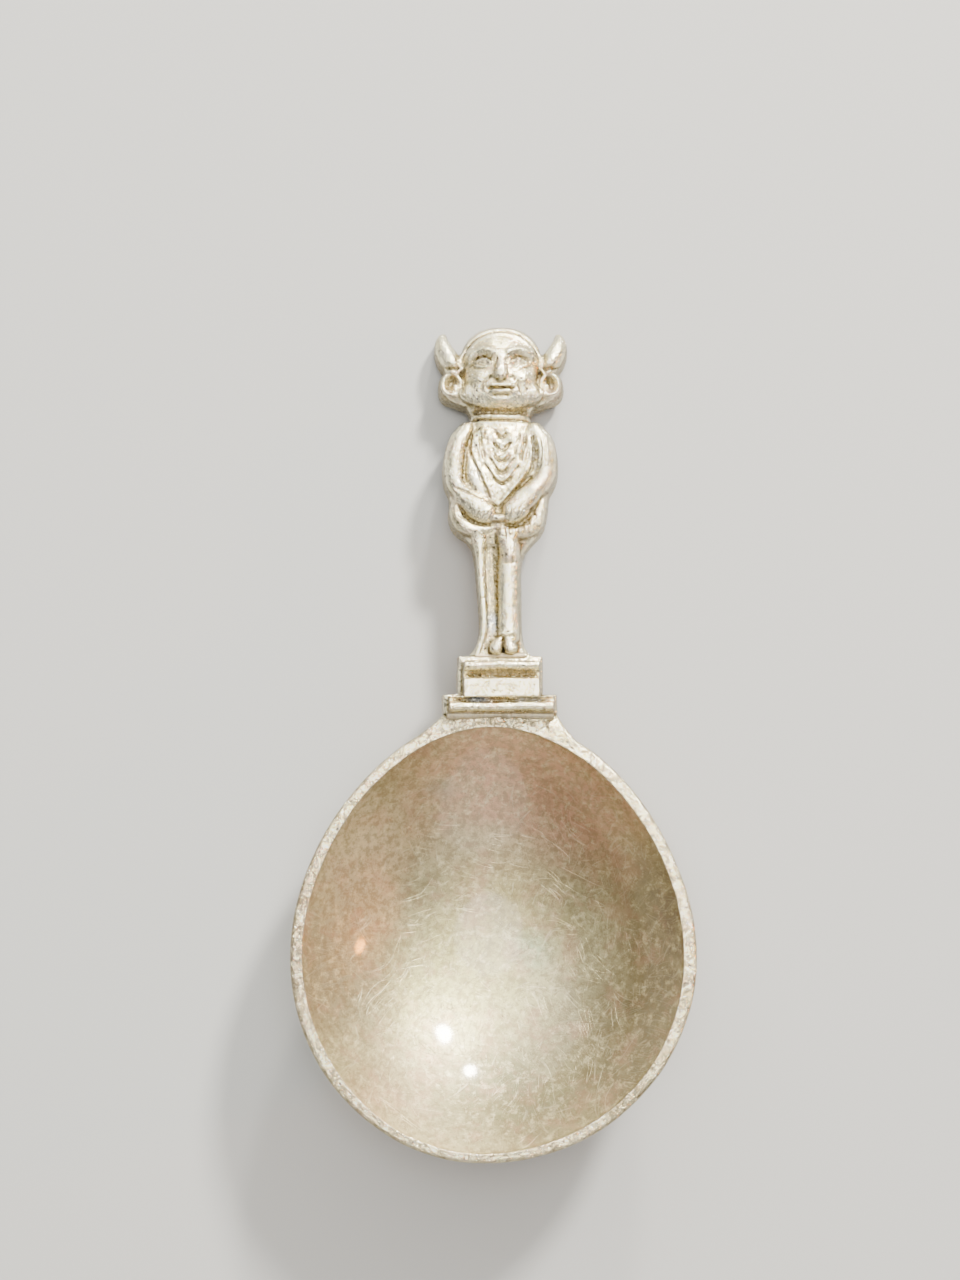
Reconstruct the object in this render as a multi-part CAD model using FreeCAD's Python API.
"""Souvenir caddy spoon: a shallow cast brass bowl with a flat lip, a stepped plinth lapped onto the
bowl's shoulder, and a horned imp standing on the plinth as the handle. All lengths are millimetres.

The spoon is drawn level, with the lip in the plane z = 0, +Y up the handle and the bowl's middle at the
origin. It is then laid down the way it rests on a table: bowl and handle end both touching z = 0.
"""

import FreeCAD
import Part
import math
import os

V = FreeCAD.Vector

# Bowl
LIP_HALF_WIDTH = 19.8      # outer edge of the lip, across the spoon
LIP_HALF_LENGTH = 21.8     # outer edge of the lip, along the spoon
MOUTH_HALF_WIDTH = 18.6    # inner edge of the lip, across
MOUTH_HALF_LENGTH = 20.75  # inner edge of the lip, along
LIP_CENTRE_X = -0.7        # the bowl sits a little to the left of the handle's middle line
MOUTH_CENTRE_Y = -0.2      # the lip is a little narrower at the tip than at the shoulder
EGG_TAPER = 0.095          # how much narrower the bowl is towards the handle
EGG_PINCH = 0.045          # how much both ends are drawn in
MOUTH_TAPER = 0.085
TIP_SKEW = 0.8             # the tip leans this far to the left
BOWL_DEPTH = 10.2          # lip plane to the lowest point inside
BOTTOM_WALL = 1.4
EDGE_HEIGHT = 1.0          # upright outer edge under the lip
DISH_ROUND = 0.75          # share of the dish that is parabolic; the rest is flatter at the bottom

# Shoulder and tongue, part of the bowl's casting
SHOULDER_HALF_WIDTH = 8.0
SHOULDER_START_Y = 19.2
TONGUE_HALF_WIDTH = 4.6
TONGUE_LENGTH = 2.6
TONGUE_THICK = 1.6

# Plinth
PLINTH_START_Y = 21.8
PLINTH_LENGTH = 5.75
PLINTH_BASE_HALF_WIDTH = 5.35
PLINTH_CAP_HALF_WIDTH = 3.85
PLINTH_BASE_LENGTH = 2.15
PLINTH_DRAFT = 0.35        # each side leans in this much from the back to the front
PLINTH_FRONT = 3.0

# Figure
FIGURE_HEIGHT = 34.45
SKULL = (4.7, 4.4, 4.0)    # half sizes of the skull
SKULL_HEIGHT = 30.05       # its middle above the feet
HORN_BASE = (4.75, 29.3)   # across from the middle line, above the feet
HORN_BELLY = (5.5, 31.2)
HORN_TIP = (5.85, 32.9)
HORN_RADII = (1.5, 1.25, 0.5)
EAR_AT = (5.1, 27.95)
EAR_RADIUS = 1.35
ARM_RADIUS = 1.15
SHOULDER_AT = (3.9, 21.2)
ELBOW_AT = (4.1, 16.9)
HAND_AT = (1.7, 14.8)
HAND_RADIUS = 1.3
TENON = (2.4, 1.8, 1.6)    # across, along, thick: the peg under the feet

# Joints between the castings
SOLDER = 0.1               # thickness of a solder film
FILLET = 0.4               # leg of the bead at a joint
FEET_HALF_WIDTH = 2.55     # the bead follows this rectangle round the feet
FEET_FRONT = 1.65

BACK = -TONGUE_THICK       # the flat back of plinth and figure
BACK_STOCK = 0.5           # drawn behind the back and cut off flat
FEET_Y = PLINTH_START_Y + PLINTH_LENGTH
END_Y = FEET_Y + FIGURE_HEIGHT


def lip_point(turn):
    """A point of the lip's egg-shaped outer edge; turn runs from 0 to a full turn, in radians."""
    t = math.sin(turn)
    skew = TIP_SKEW * t**4 if t < 0 else 0.0
    x = LIP_HALF_WIDTH * math.cos(turn) * (1 - EGG_TAPER * t - EGG_PINCH * t * t)
    return V(LIP_CENTRE_X - skew + x, LIP_HALF_LENGTH * t, 0)


def egg_share(half_width, half_length, centre_y, taper, x, y):
    """How far out a point lies inside the egg: 0 in the middle and 1 on the outline."""
    t = (y - centre_y) / half_length
    skew = TIP_SKEW * t**4 if t < 0 else 0.0
    across = (x - LIP_CENTRE_X + skew) / (half_width * (1 - taper * t - EGG_PINCH * t * t))
    return math.hypot(across, t)


def dish(bottom, rise, share):
    """Height of a dished surface whose lowest point is at bottom and which rises by rise at share 1."""
    return bottom + rise * (DISH_ROUND * share**2 + (1 - DISH_ROUND) * share**4)


def dish_below(height, reach=26.0, steps=20):
    """The space above a dished surface given as height(x, y), as one solid."""
    at = [reach * (2 * i / steps - 1) for i in range(steps + 1)]
    grid = [[V(x, y, height(x, y)) for y in at] for x in at]
    surface = Part.BSplineSurface()
    surface.interpolate(grid)
    return surface.toShape().extrude(V(0, 0, 80))


def prism(points, low, high):
    wire = Part.makePolygon([V(x, y, low) for x, y in points + points[:1]])
    return Part.Face(wire).extrude(V(0, 0, high - low))


def inner_height(x, y):
    share = egg_share(MOUTH_HALF_WIDTH, MOUTH_HALF_LENGTH, MOUTH_CENTRE_Y, MOUTH_TAPER, x, y)
    return dish(-BOWL_DEPTH, BOWL_DEPTH, share)


def outer_height(x, y):
    share = egg_share(LIP_HALF_WIDTH, LIP_HALF_LENGTH, 0.0, EGG_TAPER, x, y)
    depth = BOWL_DEPTH + BOTTOM_WALL
    return dish(-depth, depth - EDGE_HEIGHT, share)


def make_bowl():
    """Dished shell with a flat lip, the shoulder that widens the lip, and the tongue under the plinth."""
    outline = Part.BSplineCurve()
    outline.interpolate([lip_point(math.radians(turn)) for turn in range(0, 360, 10)], PeriodicFlag=True)
    blank = Part.Face(Part.Wire(outline.toShape())).extrude(V(0, 0, -20))
    blank = blank.common(dish_below(outer_height))
    tongue_end = PLINTH_START_Y + TONGUE_LENGTH
    foot = PLINTH_BASE_HALF_WIDTH + PLINTH_DRAFT
    shoulder = prism(
        [
            (-SHOULDER_HALF_WIDTH, SHOULDER_START_Y),
            (SHOULDER_HALF_WIDTH, SHOULDER_START_Y),
            (foot, PLINTH_START_Y),
            (TONGUE_HALF_WIDTH, PLINTH_START_Y),
            (TONGUE_HALF_WIDTH, tongue_end),
            (-TONGUE_HALF_WIDTH, tongue_end),
            (-TONGUE_HALF_WIDTH, PLINTH_START_Y),
            (-foot, PLINTH_START_Y),
        ],
        BACK,
        0,
    )
    return blank.fuse(shoulder).removeSplitter().cut(dish_below(inner_height))


def stepped_outline(grow, level):
    """The plinth's plan, grown outwards by grow, as a wire at the height level."""
    base = PLINTH_BASE_HALF_WIDTH + grow
    cap = PLINTH_CAP_HALF_WIDTH + grow
    start = PLINTH_START_Y
    step = PLINTH_START_Y + PLINTH_BASE_LENGTH
    end = FEET_Y - PLINTH_DRAFT + grow
    half = [(base, start), (base, step + grow), (cap, step + grow), (cap, end)]
    points = half + [(-x, y) for x, y in reversed(half)]
    return Part.makePolygon([V(x, y, level) for x, y in points + points[:1]])


def plinth_profile():
    """Side view of the mouldings: cove and torus at the foot, plain die, groove and cap at the top."""
    y0, top = PLINTH_START_Y, PLINTH_FRONT
    cove = Part.Arc(V(0, y0, 1.1), V(0, y0 + 0.55, 1.5), V(0, y0 + 0.85, top - 0.5)).toShape()
    torus = Part.Arc(
        V(0, y0 + 0.85, top - 0.5), V(0, y0 + 1.5, top), V(0, y0 + 2.1, top - 0.4)
    ).toShape()
    groove = Part.Arc(
        V(0, FEET_Y - 1.75, top - 0.45), V(0, FEET_Y - 1.4, top - 0.75), V(0, FEET_Y - 1.05, top - 0.4)
    ).toShape()
    cap = Part.Arc(
        V(0, FEET_Y - 1.05, top - 0.4), V(0, FEET_Y - 0.6, top - 0.05), V(0, FEET_Y - 0.05, top - 0.5)
    ).toShape()
    corners = [V(0, FEET_Y - 0.05, top - 0.5), V(0, FEET_Y, top - 0.9), V(0, FEET_Y, BACK), V(0, y0, BACK)]
    die = Part.makeLine(V(0, y0 + 2.1, top - 0.4), V(0, FEET_Y - 1.75, top - 0.45))
    rest = Part.makePolygon(corners + [V(0, y0, 1.1)])
    wire = Part.Wire([cove, torus, die, groove, cap] + rest.Edges)
    return Part.Face(wire).extrude(V(20, 0, 0)).translated(V(-10, 0, 0))


def lap_space(gap):
    """The rebate in the plinth's back that the tongue and its solder fill."""
    half = TONGUE_HALF_WIDTH + gap
    length = TONGUE_LENGTH + gap
    return Part.makeBox(2 * half, length, TONGUE_THICK + gap, V(-half, PLINTH_START_Y, BACK))


def tenon_space(gap):
    across, along, thick = TENON
    middle = (BACK + PLINTH_FRONT) / 2 - 0.2
    size = (across + 2 * gap, along + gap, thick + 2 * gap)
    return Part.makeBox(*size, V(-size[0] / 2, FEET_Y - size[1], middle - size[2] / 2))


def make_plinth():
    back, front = stepped_outline(PLINTH_DRAFT, BACK), stepped_outline(0, PLINTH_FRONT)
    block = Part.makeLoft([back, front], True, True).common(plinth_profile())
    return block.cut(lap_space(SOLDER)).cut(tenon_space(SOLDER))


def ellipsoid(half_sizes, centre):
    ball = Part.makeSphere(1.0)
    scale = FreeCAD.Matrix()
    scale.scale(*half_sizes)
    return ball.transformGeometry(scale).translated(centre)


def limb(start, end, start_radius, end_radius):
    """A round limb between two points, with rounded ends."""
    along = end - start
    if abs(start_radius - end_radius) < 1e-6:
        rod = Part.makeCylinder(start_radius, along.Length, start, along)
    else:
        rod = Part.makeCone(start_radius, end_radius, along.Length, start, along)
    return rod.multiFuse([Part.makeSphere(start_radius, start), Part.makeSphere(end_radius, end)])


def body_section(height, left, right, front):
    """One slice across the figure: upright sides, an arched front and some stock behind the flat back."""
    y = FEET_Y + height
    edge = -0.3
    middle = (left + right) / 2
    behind = BACK - BACK_STOCK
    corners = [V(left, y, edge), V(left, y, behind), V(right, y, behind), V(right, y, edge)]
    arch = Part.Arc(
        V(right, y, edge),
        V(middle, y, front),
        V(left, y, edge),
    ).toShape()
    return Part.Wire(Part.makePolygon(corners).Edges + [arch])


def make_body():
    """Legs, hips, trunk and neck in one smooth loft; each station is height, left, right, front."""
    stations = [
        (0.0, -2.45, 2.35, 1.2),
        (1.7, -1.9, 2.1, 1.1),
        (5.5, -2.0, 2.1, 1.3),
        (9.9, -2.4, 2.1, 1.5),
        (11.2, -2.9, 2.8, 2.0),
        (13.0, -4.5, 4.1, 2.3),
        (15.4, -5.0, 4.7, 2.5),
        (18.3, -5.4, 5.3, 2.6),
        (20.9, -5.1, 5.4, 2.4),
        (22.7, -4.3, 4.7, 2.0),
        (24.6, -3.1, 3.1, 1.7),
        (26.1, -3.8, 4.0, 1.7),
        (27.6, -4.4, 4.5, 1.7),
    ]
    return Part.makeLoft([body_section(*s) for s in stations], True, False)


def at_height(x, height, z):
    return V(x, FEET_Y + height, z)


def make_horn(side):
    points = [HORN_BASE, HORN_BELLY, HORN_TIP]
    levels = [0.0, 0.1, 0.0]
    spots = [at_height(side * x, h, z) for (x, h), z in zip(points, levels)]
    lower = limb(spots[0], spots[1], HORN_RADII[0], HORN_RADII[1])
    return lower.fuse(limb(spots[1], spots[2], HORN_RADII[1], HORN_RADII[2]))


def make_ear(side):
    x, h = EAR_AT
    top = at_height(side * x, h + 0.15, -0.45)
    foot = at_height(side * x, h - 0.15, -0.45)
    hollow = Part.makeSphere(0.75, at_height(side * (x + 0.2), h, 1.2))
    return limb(top, foot, EAR_RADIUS, EAR_RADIUS).cut(hollow)


def make_head():
    skull = ellipsoid(SKULL, at_height(0, SKULL_HEIGHT, -1.0))
    brow = limb(at_height(-2.2, 31.0, 2.0), at_height(2.2, 31.0, 2.0), 0.6, 0.6)
    nose = ellipsoid((1.0, 1.1, 1.1), at_height(0, 29.2, 2.8))
    lip = limb(at_height(-1.7, 27.5, 1.8), at_height(1.7, 27.5, 1.8), 0.5, 0.5)
    cheeks = [Part.makeSphere(1.15, at_height(side * 2.1, 28.8, 1.6)) for side in (-1, 1)]
    return skull.multiFuse([brow, nose, lip] + cheeks)


def make_arm(side):
    shoulder = at_height(side * SHOULDER_AT[0], SHOULDER_AT[1], 0.7)
    elbow = at_height(side * ELBOW_AT[0], ELBOW_AT[1], 0.9)
    hand = at_height(side * HAND_AT[0], HAND_AT[1], 2.1)
    upper = limb(shoulder, elbow, ARM_RADIUS, ARM_RADIUS)
    fore = limb(elbow, hand, ARM_RADIUS, ARM_RADIUS * 0.9)
    return upper.multiFuse([fore, Part.makeSphere(HAND_RADIUS, hand)])


def make_ruff():
    """Pointed tufts down the chest, each a shallow V."""
    tufts = []
    for height, half in ((21.6, 1.5), (20.0, 1.9), (18.3, 1.7)):
        low = at_height(0, height - 0.9, 2.45)
        for side in (-1, 1):
            tufts.append(limb(at_height(side * half, height, 2.0), low, 0.35, 0.35))
    return tufts


def make_legs():
    """The forward leg with its knee, the leg beside it and the two halves of the hoof."""
    knee = at_height(0.95, 9.9, 1.0)
    forward = limb(knee, at_height(0.85, 1.6, 0.8), 1.15, 0.95)
    beside = limb(at_height(-1.7, 10.4, 0.7), at_height(-1.3, 1.4, 0.4), 0.7, 0.6)
    hoof = [ellipsoid((0.75, 0.95, 0.75), at_height(x, 0.95, 1.0)) for x in (-0.5, 0.95)]
    return [forward, beside] + hoof


def make_figure():
    """The whole casting of the imp: relief in front, flat behind, with a tenon under the feet."""
    pieces = [make_head()] + make_legs() + make_ruff()
    for side in (-1, 1):
        pieces += [make_horn(side), make_ear(side), make_arm(side)]
    room = Part.makeBox(30, FIGURE_HEIGHT, 12, V(-15, FEET_Y, BACK))
    cast = make_body().common(room)
    for piece in pieces:
        cast = cast.fuse(piece.common(room))
    return cast.fuse(tenon_space(0))


def make_bowl_solder():
    """Film over and round the tongue, with a bead in the corner where the plinth meets the lip."""
    film = lap_space(SOLDER).cut(lap_space(0))
    half = PLINTH_BASE_HALF_WIDTH
    y = PLINTH_START_Y
    heel = V(-half, y, 0)
    corner = Part.makePolygon([heel, V(-half, y - FILLET, 0), V(-half, y, FILLET), heel])
    bead = Part.Face(corner).extrude(V(2 * half, 0, 0))
    return film.fuse(bead).removeSplitter()


def feet_outline(grow, y):
    """A rectangle round the feet on the plinth's top, grown outwards by grow."""
    half = FEET_HALF_WIDTH + grow
    low = BACK + FILLET - grow
    high = FEET_FRONT + grow
    corners = [V(-half, y, low), V(half, y, low), V(half, y, high), V(-half, y, high), V(-half, y, low)]
    return Part.makePolygon(corners)


def make_figure_solder(figure):
    """Film round the tenon, with a bead round the feet."""
    film = tenon_space(SOLDER).cut(tenon_space(0))
    bead = Part.makeLoft([feet_outline(FILLET, FEET_Y), feet_outline(0, FEET_Y + FILLET)], True, True)
    return film.fuse(bead.cut(figure)).removeSplitter()


def resting_lean():
    """The angle, in degrees, at which the bowl and the handle end both touch the table."""
    def gap_slope(y):
        step = 1e-3
        slope = (outer_height(LIP_CENTRE_X, y + step) - outer_height(LIP_CENTRE_X, y - step)) / (2 * step)
        return slope - (BACK - outer_height(LIP_CENTRE_X, y)) / (END_Y - y)

    low, high = 0.0, LIP_HALF_LENGTH * 0.8
    for _ in range(60):
        middle = (low + high) / 2
        if gap_slope(middle) < 0:
            low = middle
        else:
            high = middle
    return math.degrees(math.atan2(BACK - outer_height(LIP_CENTRE_X, low), END_Y - low))


def lay_down(shapes):
    """Lean every piece to its resting angle and put the whole spoon's box bottom centre at the origin."""
    lean = resting_lean()
    for shape in shapes.values():
        shape.rotate(V(0, 0, 0), V(1, 0, 0), -lean)
    box = FreeCAD.BoundBox()
    for shape in shapes.values():
        box.add(shape.optimalBoundingBox(False, False))
    shift = V(-box.Center.x, -box.Center.y, -box.ZMin)
    for shape in shapes.values():
        shape.translate(shift)
    return lean, shift


def main():
    os.makedirs("parts", exist_ok=True)
    figure = make_figure()
    shapes = {
        "bowl": make_bowl(),
        "plinth": make_plinth(),
        "imp_figure": figure,
        "bowl_solder": make_bowl_solder(),
        "figure_solder": make_figure_solder(figure),
    }
    lean, shift = lay_down(shapes)
    for name, shape in shapes.items():
        shape.exportStep(f"parts/{name}.step")
        print(name, shape.isValid(), len(shape.Solids), round(shape.Volume, 2))
    print("lean", round(lean, 3), "shift", shift)


main()
